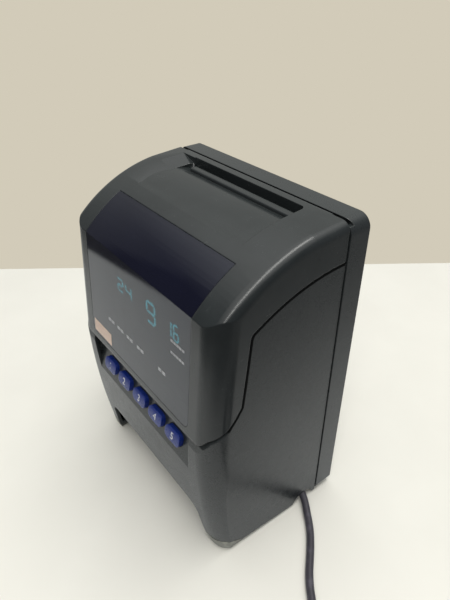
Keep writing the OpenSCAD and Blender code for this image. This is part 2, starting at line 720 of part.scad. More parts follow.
module feed_gear() {
  color([0.85, 0.85, 0.8]) difference() {
    spur(gear_x, feed_y, feed_z, feed_teeth, mesh_a, gear_t);
    rod_x(0, case_w, feed_y, feed_z, shaft_r + 0.02);
    for (k = [0 : 4]) translate([0, feed_y, feed_z]) rotate([72 * k, 0, 0]) rod_x(0, case_w, 0, 6.8, 2);
  }
}

module feed_pinion() {
  color([0.75, 0.62, 0.35]) {
    spur(gear_x, motor_y, motor_z, pinion_teeth, mesh_a + 180 + 180 / pinion_teeth, gear_t);
    rod_x(gear_x - 12, gear_x + gear_t, motor_y, motor_z, 1.5);
  }
}

module motor_can(x0, x1, y, z, r, bore) {
  difference() {
    union() {
      rod_x(x0, x1, y, z, r);
      box(x0 < 0 ? x0 : x1 - 1.5, x0 < 0 ? x0 + 1.5 : x1, y - 3.5, y + 3.5, z - r - 4, z + r + 4);
    }
    rod_x(x0 - 1, x1 + 1, y, z, bore);
  }
}

module feed_motor() {
  color([0.5, 0.51, 0.52]) motor_can(plate_x - 17, plate_x - 0.1, motor_y, motor_z, 10.5, 1.5 + run_gap);
}

module pinch_shaft() {
  color([0.72, 0.73, 0.75]) rod_x(-plate_x - plate_t - 2, plate_x + plate_t + 2, pinch_y, feed_z, 1.5);
}

module pinch_rollers() {
  color([0.5, 0.5, 0.48]) for (s = [-1, 1]) difference() {
    rod_x(s * roller_x - roller_l / 2, s * roller_x + roller_l / 2, pinch_y, feed_z, pinch_r);
    rod_x(-case_w, case_w, pinch_y, feed_z, 1.52);
  }
}

// printing carriage

module guide_rod() {
  color([0.78, 0.79, 0.8]) rod_x(-plate_x - plate_t - 1, plate_x + plate_t + 1, rod_y, rod_z, rod_r);
}

module lead_screw() {
  color([0.72, 0.73, 0.75]) difference() {
    rod_x(-plate_x - plate_t - 1.5, plate_x + plate_t + 2, screw_y, screw_z, screw_r);
    for (k = [-13 : 13]) translate([k * 2.6, screw_y, screw_z]) rotate([0, 90, 0]) rotate_extrude()
      polygon([[screw_r - 0.5, 0], [screw_r + 1, -0.8], [screw_r + 1, 0.8]]);
  }
}

module carriage_motor() {
  color([0.5, 0.51, 0.52]) motor_can(-plate_x + 0.2, -plate_x + 15, screw_y, screw_z, 10.5, screw_r + run_gap);
}

module carriage() {
  color([0.16, 0.16, 0.17]) difference() {
    union() {
      box(-carriage_half, carriage_half, screw_y - 6, carriage_y1, screw_z - 6, rod_z - 6);
      box(-carriage_half, carriage_half, rod_y - 6, carriage_y1, rod_z - 6 - eps, rod_z + 6);
    }
    rod_x(-case_w, case_w, rod_y, rod_z, rod_r + run_gap);
    rod_x(-case_w, case_w, screw_y, screw_z, screw_r + run_gap);
  }
}

module print_head() {
  color([0.3, 0.3, 0.31]) {
    box(-8, 8, carriage_y1 + 0.1, head_y1 - 4, print_z - 9, print_z + 9);
    for (k = [-2 : 2]) box(3 * k - 0.7, 3 * k + 0.7, carriage_y1 + 0.1, head_y1 - 5, print_z + 8, print_z + 13.5);
    box(-3, 3, head_y1 - 4 - eps, head_y1, print_z - 5, print_z + 5);
  }
}

module ribbon_cassette() {
  color([0.14, 0.14, 0.15]) difference() {
    union() {
      box(-48, 48, rod_y - 20, slot_y0 - 6, cassette_z, cassette_z + 22);
      for (s = [-1, 1]) box(s * 44.5 - 2, s * 44.5 + 2, rod_y + 8, slot_y0 - 2.2, print_z - 7, cassette_z + 6);
      for (s = [-1, 1]) box(s > 0 ? 47 : -guide_x, s > 0 ? guide_x : -47, rod_y - 4, rod_y + 4, cassette_z + 2, cassette_z + 6);
    }
    translate([-28, rod_y - 6, cassette_z + 10]) cylinder(r = 2.5 + run_gap, h = 20);
    box(-44, 44, rod_y - 17, slot_y0 - 9, cassette_z + 20.8, cassette_z + 30);
  }
}

module ink_ribbon() {
  color([0.12, 0.08, 0.2]) box(-42.5, 42.5, slot_y0 - 2.4, slot_y0 - 2.1, print_z - 5, print_z + 6);
}

module ribbon_knob() {
  color([0.2, 0.35, 0.6]) {
    translate([-28, rod_y - 6, cassette_z + 10.4]) cylinder(r = 2.5, h = 13);
    translate([-28, rod_y - 6, cassette_z + 22.6]) difference() {
      cylinder(r = 7, h = 4);
      for (k = [0 : 11]) rotate(30 * k) translate([7.6, 0, -1]) cylinder(r = 1.2, h = 6, $fn = 24);
    }
  }
}

// electronics

module main_board() {
  color([0.1, 0.35, 0.2]) box(-50, 50, board_y, board_y + 1.6, base_top, 128);
  color([0.1, 0.1, 0.1]) box(-10, 10, board_y + 1.6 - eps, board_y + 4, 84, 104);
  color([0.1, 0.1, 0.1]) box(-36, -22, board_y + 1.6 - eps, board_y + 3.4, 92, 104);
  color([0.85, 0.83, 0.75]) box(-44, -14, board_y + 1.6 - eps, board_y + 8, 114, 121);
  color([0.15, 0.15, 0.3]) for (x = [24, 38]) rod_y(board_y + 1.6 - eps, board_y + 15, x, 56, 5.5);
}

module transformer() {
  color([0.3, 0.31, 0.32]) {
    box(-46, -8, chassis_y0 + 6, slot_y0 - 8, base_top + plate_t, base_top + plate_t + 6);
    box(-44, -10, chassis_y0 + 10, slot_y0 - 10, base_top + plate_t, base_top + plate_t + 34);
    box(-40, -14, chassis_y0 + 6, slot_y0 - 7, base_top + plate_t + 6, base_top + plate_t + 28);
  }
}

module backup_battery() {
  color([0.15, 0.35, 0.55]) rod_x(-44, -6, board_y + 1.7 + 5.2, 72, 5.2);
}

module buzzer() {
  color([0.1, 0.1, 0.1]) difference() {
    rod_y(board_y + 1.7, board_y + 9, 32, 104, 7);
    rod_y(board_y + 7, board_y + 10, 32, 104, 1.2);
  }
}

module card_sensor() {
  color([0.12, 0.12, 0.13]) box(-6, 6, slot_y0 - guide_t - 6, slot_y0 - guide_t - 0.3, 70, 84);
}

// mains lead

function unit(v) = v / norm(v);
function seg(i, p) = i == 0 ? unit(p[1] - p[0]) : i == len(p) - 1 ? unit(p[i] - p[i - 1]) : unit(p[i + 1] - p[i - 1]);
function ring(c, t, r, n, a0) = let (s = unit(cross(t, [0, 0, 1])), u = cross(s, t))
  [for (k = [0 : n - 1]) c + r * (cos(360 * k / n + a0) * s + sin(360 * k / n + a0) * u)];

// unbroken tube along points p with tangents t
module tube(p, t, r, n, a0) {
  m = len(p);
  pts = [for (i = [0 : m - 1]) each ring(p[i], t[i], r, n, a0)];
  sides = [for (i = [0 : m - 2]) for (k = [0 : n - 1]) let (a = i * n + k, b = i * n + (k + 1) % n)
    each [[a, b, a + n], [b, b + n, a + n]]];
  caps = [[for (k = [n - 1 : -1 : 0]) k], [for (k = [0 : n - 1]) (m - 1) * n + k]];
  polyhedron(points = pts, faces = concat(sides, caps), convexity = 10);
}

// smooth points between the route points
function cr(a, b, c, d, u) = 0.5 * (2 * b + (c - a) * u + (2 * a - 5 * b + 4 * c - d) * u * u + (3 * b - a - 3 * c + d) * u * u * u);
cord_pts = let (q = concat([2 * path_pts[0] - path_pts[1]], path_pts, [2 * entry - path_pts[len(path_pts) - 2]]))
  concat([for (i = [1 : len(q) - 3]) for (u = [0, 0.5]) cr(q[i - 1], q[i], q[i + 1], q[i + 2], u)], [entry]);
cord_tan = let (m = len(cord_pts)) [for (i = [0 : m - 1]) i == 0 ? [1, 0, 0] :
  i == m - 1 ? [t_dir[0], t_dir[1], 0] : seg(i, cord_pts)];

// coil: in on the lower layer, up in a quarter turn, out on the upper layer, then straight to the plug
rings_turn = 24;
n_in = coil_turns * rings_turn;
n_up = rings_turn / 4;
n_all = 2 * n_in + n_up - 9;
function coil_r(k) = k <= n_in ? coil_r1 - coil_pitch * k / rings_turn :
  k <= n_in + n_up ? coil_r0 : coil_r0 + coil_pitch * (k - n_in - n_up) / rings_turn;
function coil_z(k) = k <= n_in ? z_low : k <= n_in + n_up ? z_low + layer_h * (1 - cos(180 * (k - n_in) / n_up)) / 2 : z_high;
coil_round = [for (k = [0 : n_all]) let (a = coil_a0 + 360 * k / rings_turn)
  [coil_c[0] + coil_r(k) * cos(a), coil_c[1] + coil_r(k) * sin(a), coil_z(k)]];
out_a = coil_a0 + 360 * n_all / rings_turn + 90;
out_dir = [cos(out_a), sin(out_a), 0];
coil_end = coil_round[n_all];
coil_pts = concat(coil_round, [coil_end + 0.5 * tail_l * out_dir, coil_end + tail_l * out_dir]);
coil_tan = [for (i = [0 : len(coil_pts) - 1]) i == 0 ? [t_dir[0], t_dir[1], 0] : i >= n_all ? out_dir : seg(i, coil_pts)];
plug_at = coil_pts[len(coil_pts) - 1];

// least gap of the coil to itself, on points more than a third of a turn apart
coil_gap = min([for (i = [0 : 2 : n_all - 10]) min([for (j = [i + 9 : n_all]) norm(coil_round[i] - coil_round[j])])]) - cord_d;
echo(coil_gap = coil_gap);
function run(p) = [for (i = [0 : len(p) - 2]) norm(p[i + 1] - p[i])] * [for (i = [0 : len(p) - 2]) 1];
echo(lead_length = run(cord_pts) + run(coil_pts) + boot_l + plug_l);

module strain_relief() {
  color([0.1, 0.1, 0.11]) {
    rod_x(anchor_x - 4.5, anchor_x - 0.4, exit_y, exit_z, 3.9);
    rod_x(anchor_x - 7, anchor_x - 4.3, exit_y, exit_z, 6);
    rod_x(anchor_x - 0.5, anchor_x + 3, exit_y, exit_z, 6);
    translate([anchor_x + 3 - eps, exit_y, exit_z]) rotate([0, 90, 0]) cylinder(r1 = 5.4, r2 = cord_r + 0.8, h = relief_l - 3 + eps);
  }
}

module cord() {
  color([0.28, 0.27, 0.31]) tube(cord_pts, cord_tan, cord_r, 10, 18);
}

module cord_coil() {
  color([0.28, 0.27, 0.31]) tube(coil_pts, coil_tan, cord_r, 6, 0);
}

module cord_tie() {
  color([0.1, 0.1, 0.1]) translate([coil_c[0], coil_c[1], 0]) rotate(coil_a0 + 201) translate([0, 4, 0]) rotate([90, 0, 0])
    linear_extrude(height = 8) difference() {
      translate([coil_r0 - cord_r - 1.3, 0.02]) square([coil_r1 - coil_r0 + cord_d + 2.6, z_high + cord_r + 1.2]);
      translate([coil_r0 - cord_r - 0.5, 0.82]) square([coil_r1 - coil_r0 + cord_d + 1, z_high + cord_r - 0.4]);
    }
}

// places something drawn along local X at the plug
module at_plug(s) {
  translate(plug_at) rotate(out_a) translate([s, 0, 0]) children();
}

module plug_body() {
  color([0.1, 0.1, 0.11]) {
    at_plug(0) rotate([0, 90, 0]) cylinder(r1 = cord_r + 0.4, r2 = 5.5, h = boot_l + eps);
    at_plug(boot_l) rotate([90, 0, 90]) linear_extrude(height = plug_l) round_rect(24, plug_h, 4);
  }
}

module plug_pins() {
  color([0.78, 0.7, 0.45]) for (s = [-1, 1]) at_plug(boot_l + plug_l) translate([0, s * 6.35, 0]) difference() {
    translate([0, -0.75, -3.1]) cube([17, 1.5, 6.2]);
    translate([12, 0, 0]) rotate([90, 0, 0]) cylinder(r = 1.6, h = 4, center = true);
  }
}

rear_case();
lower_case();
base_plate();
case_screws();
base_screws();
rubber_feet();
hinge_pins();
hood();
window();
key_1();
key_2();
key_3();
key_4();
key_5();
key_board();
key_switches();
front_frame();
display_board();
display_tube();
chassis();
card_guide_front();
card_guide_rear();
platen();
shaft_bushes();
feed_shaft();
feed_rollers();
feed_gear();
feed_pinion();
feed_motor();
pinch_shaft();
pinch_rollers();
guide_rod();
lead_screw();
carriage_motor();
carriage();
print_head();
ribbon_cassette();
ink_ribbon();
ribbon_knob();
main_board();
transformer();
backup_battery();
buzzer();
card_sensor();
strain_relief();
cord();
cord_coil();
cord_tie();
plug_body();
plug_pins();
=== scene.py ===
"""Looks of the desk time clock: camera, lead, finishes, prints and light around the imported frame. Metres."""
import json
import math

import bmesh
import bpy
from mathutils import Matrix, Vector
from mathutils.bvhtree import BVHTree


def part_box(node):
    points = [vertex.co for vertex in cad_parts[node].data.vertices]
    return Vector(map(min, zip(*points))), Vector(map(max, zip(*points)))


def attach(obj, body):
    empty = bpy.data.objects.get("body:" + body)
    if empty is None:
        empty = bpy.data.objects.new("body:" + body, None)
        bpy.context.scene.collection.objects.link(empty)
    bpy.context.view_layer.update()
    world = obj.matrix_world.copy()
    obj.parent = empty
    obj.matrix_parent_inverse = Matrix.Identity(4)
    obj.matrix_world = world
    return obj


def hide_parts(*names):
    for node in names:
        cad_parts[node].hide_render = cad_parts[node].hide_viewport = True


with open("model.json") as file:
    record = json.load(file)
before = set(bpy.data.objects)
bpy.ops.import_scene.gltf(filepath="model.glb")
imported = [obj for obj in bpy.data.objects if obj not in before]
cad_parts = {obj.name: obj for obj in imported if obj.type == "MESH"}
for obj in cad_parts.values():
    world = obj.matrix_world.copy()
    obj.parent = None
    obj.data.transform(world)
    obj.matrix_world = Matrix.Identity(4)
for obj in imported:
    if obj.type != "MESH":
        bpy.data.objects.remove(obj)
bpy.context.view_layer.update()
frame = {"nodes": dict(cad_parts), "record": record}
MM = 0.001
SIN, COS = math.sin, math.cos

# camera: a focal length of 512 px on a frame 600 px high
YAW, PITCH, ROLL = 0.92504, 0.60039, -0.01365
FOCAL_PX, FRAME_PX, SENSOR = 512.1, 600.0, 36.0
CAM_AT = Vector((0.2258, -0.15145, 0.32887))
VIEW = Vector((-SIN(YAW), COS(YAW), 0.0))
SIDE = Vector((COS(YAW), SIN(YAW), 0.0))


def make_camera():
    d = VIEW * COS(PITCH) - Vector((0.0, 0.0, SIN(PITCH)))
    u = SIDE.cross(d)
    right = SIDE * COS(ROLL) + u * SIN(ROLL)
    up = u * COS(ROLL) - SIDE * SIN(ROLL)
    data = bpy.data.cameras.new("camera")
    data.sensor_fit = "VERTICAL"
    data.sensor_height = SENSOR
    data.sensor_width = SENSOR * 0.75
    data.lens = FOCAL_PX / FRAME_PX * SENSOR
    data.clip_start = 0.01
    data.clip_end = 20.0
    cam = bpy.data.objects.new("camera", data)
    m = Matrix((right, up, -d)).transposed().to_4x4()
    m.translation = CAM_AT
    cam.matrix_world = m
    bpy.context.scene.collection.objects.link(cam)
    bpy.context.scene.camera = cam


make_camera()


# shader maths
class Val:
    """A number or colour in a node tree; arithmetic on it adds Math nodes."""

    def __init__(self, net, sock):
        self.net, self.sock = net, sock

    def math(self, op, *args):
        return self.net.node("ShaderNodeMath", {"operation": op}, *args)

    def __add__(self, o):
        return self.math("ADD", self, o)

    def __radd__(self, o):
        return self.math("ADD", o, self)

    def __sub__(self, o):
        return self.math("SUBTRACT", self, o)

    def __rsub__(self, o):
        return self.math("SUBTRACT", o, self)

    def __mul__(self, o):
        return self.math("MULTIPLY", self, o)

    def __rmul__(self, o):
        return self.math("MULTIPLY", o, self)

    def __gt__(self, o):
        return self.math("GREATER_THAN", self, o)

    def __lt__(self, o):
        return self.math("LESS_THAN", self, o)

    def sin(self):
        return self.math("SINE", self)

    def abs(self):
        return self.math("ABSOLUTE", self)

    def clip(self, lo=0.0, hi=1.0):
        return self.math("MINIMUM", self.math("MAXIMUM", self, lo), hi)

    def ramp(self, lo, hi):
        return self.net.node("ShaderNodeMapRange", {"interpolation_type": "SMOOTHSTEP"}, self, lo, hi)


class Net:
    """A node tree of a material or the world."""

    def __init__(self, tree):
        self.tree = tree

    def node(self, kind, settings=None, *values, out=0, **named):
        n = self.tree.nodes.new(kind)
        for k, v in (settings or {}).items():
            setattr(n, k, v)
        sockets = list(zip(n.inputs, values))
        sockets += [(n.inputs[k.replace("_", " ")], v) for k, v in named.items()]
        for sock, v in sockets:
            self.feed(sock, v)
        return Val(self, n.outputs[out])

    def feed(self, sock, v):
        if isinstance(v, Val):
            self.tree.links.new(v.sock, sock)
        elif v is not None:
            sock.default_value = v

    def mix(self, fac, a, b):
        n = self.tree.nodes.new("ShaderNodeMix")
        n.data_type = "RGBA"
        for i, v in ((0, fac), (6, a), (7, b)):
            self.feed(n.inputs[i], (*v, 1.0) if isinstance(v, tuple) else v)
        return Val(self, n.outputs[2])


BEVEL_SAMPLES = 6


class Finish(Net):
    """One finish on a Principled shader, in object coordinates."""

    def __init__(self, name, **fixed):
        self.m = bpy.data.materials.new(name)
        self.m.use_nodes = True
        super().__init__(self.m.node_tree)
        self.p = self.tree.nodes["Principled BSDF"]
        self.co = self.node("ShaderNodeTexCoord", out="Object")
        for k, v in fixed.items():
            self.p.inputs[k.replace("_", " ")].default_value = v

    def axes(self):
        return [self.node("ShaderNodeSeparateXYZ", None, self.co, out=i) for i in range(3)]

    def noise(self, scale, detail=3.0, rough=0.55, stretch=None):
        co = self.node("ShaderNodeMapping", None, self.co, Scale=stretch) if stretch else self.co
        return self.node("ShaderNodeTexNoise", None, co, Scale=scale, Detail=detail, Roughness=rough)

    def cells(self, scale):
        return self.node("ShaderNodeTexVoronoi", None, self.co, Scale=scale)

    def done(self, color, rough, height=None, depth=0.0, soft=0.0):
        self.feed(self.p.inputs["Base Color"], color)
        self.feed(self.p.inputs["Roughness"], rough)
        normal = self.node("ShaderNodeBevel", {"samples": BEVEL_SAMPLES}, soft) if soft else None
        if height is not None:
            normal = self.node("ShaderNodeBump", None, Strength=1.0, Distance=depth,
                               Height=height, Normal=normal)
        if normal is not None:
            self.feed(self.p.inputs["Normal"], normal)
        return self.m


def shade(c, k):
    return tuple(min(1.0, x * k) for x in c)


def moulded(name, c, rough=0.42, grain=2.0e-5, soft=0.0, **fixed):
    """Spark-eroded moulding: fine grain, faint mottling, rubbed and dusty patches."""
    m = Finish(name, **fixed)
    fine, mid, big = m.noise(1900.0), m.noise(90.0, 4.0), m.noise(14.0)
    dust = (m.noise(420.0, 5.0, 0.7) * mid).ramp(0.32, 0.52) * 0.3
    tone = m.mix((big * 0.6 + mid * 0.4).ramp(0.3, 0.7), shade(c, 0.88), shade(c, 1.1))
    rub = (fine * 0.16 + mid * 0.12 + dust * 0.2 + (rough - 0.14)).clip(0.05, 1.0)
    color = m.mix(dust, tone, shade(c, 1.5))
    return m.done(color, rub, fine * 0.7 + m.cells(900.0) * 0.3, grain, soft)


def plated(name, c, rough=0.3, along=(1.0, 60.0, 60.0), metal=1.0):
    """Plated sheet or ground bar: lines along one axis, cloudy tone, dull specks."""
    m = Finish(name, Metallic=metal)
    lines, cloud = m.noise(160.0, 4.0, 0.6, along), m.noise(60.0, 4.0)
    spots = m.noise(700.0, 4.0, 0.7).ramp(0.62, 0.78)
    tone = m.mix((lines * 0.5 + cloud * 0.5).ramp(0.3, 0.7), shade(c, 0.82), shade(c, 1.1))
    rub = (lines * 0.2 + cloud * 0.14 + spots * 0.12 + (rough - 0.17)).clip(0.05, 1.0)
    return m.done(tone, rub, lines, 8.0e-6)


def rubbery(name, c, rough=0.62, **fixed):
    """Rubber and soft jacket: matt skin with chalky bloom."""
    m = Finish(name, **fixed)
    fine, mid = m.noise(1400.0, 4.0, 0.65), m.noise(120.0, 4.0)
    bloom = (mid * m.noise(300.0, 4.0)).ramp(0.22, 0.42)
    tone = m.mix(bloom, shade(c, 0.85), shade(c, 1.6))
    rub = (fine * 0.14 + bloom * 0.12 + (rough - 0.1)).clip(0.1, 1.0)
    return m.done(tone, rub, fine, 2.5e-5)


def polished(name, c, rough, **fixed):
    """Polished plastic or glass: wiping marks and a few specks of dust."""
    m = Finish(name, **fixed)
    wipe, big = m.noise(300.0, 4.0, 0.6, (1.0, 1.0, 0.25)), m.noise(18.0)
    speck = m.noise(1500.0, 2.0).ramp(0.74, 0.8)
    tone = m.mix(big.ramp(0.3, 0.7), shade(c, 0.9), shade(c, 1.12))
    color = m.mix(speck * 0.25, tone, shade(c, 4.0))
    rub = (wipe * 0.05 + speck * 0.2 + big * 0.03 + (rough - 0.04)).clip(0.02, 1.0)
    return m.done(color, rub, wipe, 1.5e-6)


MASK_GREEN, TINNED = (0.012, 0.075, 0.03), (0.62, 0.62, 0.6)
TRACK_RELIEF = 2.0e-5
# where things stand on the main board: stripe on the capacitors, their top, foot of the connector
STRIPE_X, STRIPE_HALF, CAPACITOR_TOP, CONNECTOR_FOOT = 0.024, 0.0015, 0.064, 0.113
WINDING_FOOT = 0.0462


def solder_mask(m, x, z):
    """Tracks and tinned pads of a circuit board; gives tone, pads and relief."""
    across = (x * 1300.0 + m.noise(60.0, 1.0) * 9.0).sin()
    upward = (z * 900.0 + m.noise(45.0, 1.0) * 9.0).sin()
    tracks = (across * upward).ramp(0.25, 0.4)
    pads = (((x * 2474.0).sin() * (z * 2474.0).sin()).abs() > 0.93) * (m.noise(55.0, 1.0) > 0.52)
    mask = m.mix(tracks, shade(MASK_GREEN, 0.8), shade(MASK_GREEN, 1.7))
    return m.mix(pads, mask, TINNED), pads, tracks


def circuit(name):
    """Bare circuit board."""
    m = Finish(name, Coat_Weight=0.3)
    x, _, z = m.axes()
    tone, pads, tracks = solder_mask(m, x, z)
    return m.done(tone, (0.34 - pads * 0.1 + m.noise(500.0) * 0.1).clip(), tracks, TRACK_RELIEF)


def stuffed_board(name, front):
    """Main board: mask on the sheet, and chips, connector and capacitors by where they stand on it."""
    m = Finish(name)
    x, y, z = m.axes()
    tone, _, tracks = solder_mask(m, x, z)
    off = y > front
    sleeve = m.mix(((x - STRIPE_X).abs() < STRIPE_HALF).clip(), (0.012, 0.014, 0.05), (0.5, 0.5, 0.52))
    chip = m.mix(m.noise(900.0, 3.0), (0.012, 0.012, 0.013), (0.03, 0.03, 0.031))
    part = m.mix(z < CAPACITOR_TOP, m.mix(z > CONNECTOR_FOOT, chip, (0.62, 0.58, 0.46)), sleeve)
    color = m.mix(off, tone, part)
    rub = (m.noise(500.0) * 0.15 + 0.3 + off * 0.1).clip()
    return m.done(color, rub, tracks * (1.0 - off), TRACK_RELIEF)


def transformer_finish(name, y0, y1):
    """Stacked plates in the middle, taped winding where it bulges out at the front and rear."""
    m = Finish(name)
    x, y, z = m.axes()
    plates = (x * 9000.0).sin() * 0.5 + 0.5
    wound = ((y < y0) + (y > y1)).clip() * (z > WINDING_FOOT)
    grime = (plates * 0.7 + m.noise(200.0) * 0.3).clip()
    iron = m.mix(grime, (0.03, 0.03, 0.035), (0.12, 0.12, 0.125))
    tape = m.mix((z * 1400.0).sin() * 0.5 + 0.5, (0.46, 0.3, 0.05), (0.58, 0.4, 0.09))
    color = m.mix(wound, iron, tape)
    return m.done(color, (m.noise(300.0) * 0.2 + 0.35).clip(), plates * (1.0 - wound), 4.0e-5)


def woven(name):
    """Inked cloth ribbon."""
    m = Finish(name)
    x, _, z = m.axes()
    weave = (x * 9000.0).sin() * (z * 9000.0).sin()
    color = m.mix((weave * 0.5 + 0.5).clip(), (0.008, 0.006, 0.02), (0.03, 0.022, 0.06))
    return m.done(color, m.noise(500.0) * 0.2 + 0.65, weave, 2.0e-5)


def printed(name, c, rough=0.45):
    """Screen-printed ink or label stock: slightly uneven cover."""
    m = Finish(name)
    fibre = m.noise(900.0, 4.0)
    color = m.mix(fibre.ramp(0.3, 0.7), shade(c, 0.9), shade(c, 1.04))
    return m.done(color, fibre * 0.15 + (rough - 0.07), fibre, 4.0e-6)


def glowing(name, c, power):
    """Lit display segment: glow a little uneven over its grid."""
    m = Finish(name, Emission_Strength=power)
    x, _, z = m.axes()
    grid = ((x * 12000.0).sin() * (z * 12000.0).sin() * 0.5 + 0.5).clip()
    m.feed(m.p.inputs["Emission Color"], m.mix(grid * 0.3, c, shade(c, 0.7)))
    color = m.mix(m.noise(600.0), shade(c, 0.4), shade(c, 0.5))
    return m.done(color, m.noise(400.0) * 0.1 + 0.4)


GREY, EDGE = (0.024, 0.0285, 0.0295), 0.0008
FINISH = {
    "case_grey": moulded("case_grey", GREY, 0.28, 0.9e-5, soft=EDGE),
    "hood_grey": moulded("hood_grey", GREY, 0.23, 0.8e-5, soft=EDGE),
    "rear_grey": moulded("rear_grey", shade(GREY, 1.08), 0.29, 0.9e-5, soft=EDGE),
    "smoked_window": polished("smoked_window", (0.006, 0.0065, 0.017), 0.05, Alpha=0.84, IOR=1.5,
                              Coat_Weight=0.4, Specular_Tint=(0.82, 0.9, 1.0, 1.0)),
    "key_blue": moulded("key_blue", (0.011, 0.033, 0.24), 0.28, 1.0e-5, soft=EDGE),
    "black_plastic": moulded("black_plastic", (0.02, 0.021, 0.022), 0.5),
    "zinc_sheet": plated("zinc_sheet", (0.56, 0.57, 0.58), 0.36),
    "steel": plated("steel", (0.6, 0.61, 0.62), 0.26, (60.0, 1.0, 1.0)),
    "bronze": plated("bronze", (0.5, 0.33, 0.14), 0.42),
    "brass": plated("brass", (0.66, 0.49, 0.22), 0.28),
    "rubber": rubbery("rubber", (0.022, 0.022, 0.023)),
    "grey_rubber": rubbery("grey_rubber", (0.15, 0.15, 0.142)),
    "pcb": circuit("pcb"),
    "display_glass": polished("display_glass", (0.012, 0.02, 0.022), 0.1),
    "acetal": moulded("acetal", (0.66, 0.65, 0.6), 0.4),
    "motor_can": plated("motor_can", (0.42, 0.43, 0.44), 0.34, (1.0, 40.0, 40.0), 0.9),
    "ribbon": woven("ribbon"),
    "battery_wrap": polished("battery_wrap", (0.02, 0.1, 0.28), 0.25),
    "cord_grey": rubbery("cord_grey", (0.05, 0.047, 0.06), 0.5),
}
FRONT_WINDING, REAR_WINDING, SHEET = 0.0041, 0.0031, 0.00165
CORE = [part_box("transformer")[0].y + FRONT_WINDING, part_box("transformer")[1].y - REAR_WINDING]
BY_NODE = {
    "rubber_feet": rubbery("foot_grey", (0.27, 0.27, 0.235), 0.5),
    "main_board": stuffed_board("main_board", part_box("main_board")[0].y + SHEET),
    "transformer": transformer_finish("transformer", *CORE),
}
for row in frame["record"]["subparts"]:
    data = frame["nodes"][row["node"]].data
    data.materials.clear()
    data.materials.append(BY_NODE.get(row["node"]) or FINISH[row["material_slot"]])


# pieces
def piece(name, verts, faces, finish, body, smooth=False):
    me = bpy.data.meshes.new(name)
    me.from_pydata([tuple(v) for v in verts], [], faces)
    me.update()
    me.validate()
    if smooth:
        me.polygons.foreach_set("use_smooth", [True] * len(me.polygons))
    me.materials.append(finish)
    ob = bpy.data.objects.new(name, me)
    bpy.context.scene.collection.objects.link(ob)
    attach(ob, body)
    return ob


# hood and window with a flatter top than the solids', in millimetres: the solids' top is an arc and a flat,
# and FLATTER is the share of the way from there to one wide arc from the window's crease to the rear seam
FLAT_Z, SOLID_MID, SOLID_R = 216.0, Vector((15.5, 142.0)), 74.0
CREASE_Y, WIDE_MID, WIDE_R, FLATTER = -45.7, Vector((38.2, 91.4)), 124.6, 0.7
# depth under the top that moves whole, and depth that stays
SKIN, SKIN_END = 12.0, 20.0
TROUGH_LEFT, TROUGH_RIGHT, TROUGH_FRONT, LIP_Y, RIM = -71.0, 53.0, -6.35, 20.0, 1.0
SAME_POINT, STRAIGHT, SHARP = 1.0e-6, 0.02, math.radians(12.0)


def solid_top(y):
    if y >= SOLID_MID.x:
        return FLAT_Z
    return SOLID_MID.y + math.sqrt(SOLID_R ** 2 - (y - SOLID_MID.x) ** 2)


def flat_top(y):
    arc = WIDE_MID.y + math.sqrt(WIDE_R ** 2 - (y - WIDE_MID.x) ** 2)
    return solid_top(y) + (arc - solid_top(y)) * FLATTER


def sunk(co):
    """Point of the hood lowered with its skin; the trough's floor tapers to its own height at the lip."""
    x, y, z = co / MM
    if not CREASE_Y < y < WIDE_MID.x:
        return co
    below = solid_top(y) - z
    drop = max(0.0, solid_top(y) - flat_top(y))
    if TROUGH_LEFT < x < TROUGH_RIGHT and y > TROUGH_FRONT and below > RIM:
        front = solid_top(TROUGH_FRONT) - flat_top(TROUGH_FRONT)
        drop = front * max(0.0, (LIP_Y - y) / (LIP_Y - TROUGH_FRONT))
    k = min(1.0, max(0.0, (SKIN_END - below) / (SKIN_END - SKIN)))
    return Vector((co.x, co.y, co.z - drop * k * k * (3.0 - 2.0 * k) * MM))


def flatter(node, name):
    """The node's own mesh with its top lowered, in the node's place."""
    work = bmesh.new()
    work.from_mesh(frame["nodes"][node].data)
    bmesh.ops.remove_doubles(work, verts=work.verts, dist=SAME_POINT)
    for v in work.verts:
        v.co = sunk(v.co)
    me = bpy.data.meshes.new(name)
    work.to_mesh(me)
    work.free()
    slot = next(row["material_slot"] for row in frame["record"]["subparts"] if row["node"] == node)
    me.materials.clear()
    me.materials.append(FINISH[slot])
    me.polygons.foreach_set("use_smooth", [abs(f.normal.x) > STRAIGHT for f in me.polygons])
    me.set_sharp_from_angle(angle=SHARP)
    ob = bpy.data.objects.new(name, me)
    bpy.context.scene.collection.objects.link(ob)
    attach(ob, "hood_body")
    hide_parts(node)


flatter("hood", "hood_shell")
flatter("window", "window_pane")


# lead: the route of the part's source and its coil by the same formula, in millimetres until the end
CORD_D = 5.2
EXIT = (66.0, 28.0)
LIE = CORD_D / 2 + 0.1
STEPS = [(0, 0, 6.6), (6, -0.2, 6.4), (12, -1.3, 5.7), (18, -4, 4.7), (25, -8.6, LIE + 0.7),
         (31, -12.7, LIE + 0.1), (37, -17.6, LIE), (43, -23.5, LIE), (49, -30, LIE), (55, -36.6, LIE),
         (62, -43, LIE), (70, -49, LIE), (80, -57.4, LIE)]
MIDWAY, ENTRY = 20.0, 40.0
TURNS, COIL_R0, COIL_PITCH, RINGS = 3.25, 25.5, CORD_D + 1.0, 48
LAST_ARC, TAIL, TAIL_STEPS, CURVE_STEPS = 0.375, 14.0, 4, 6


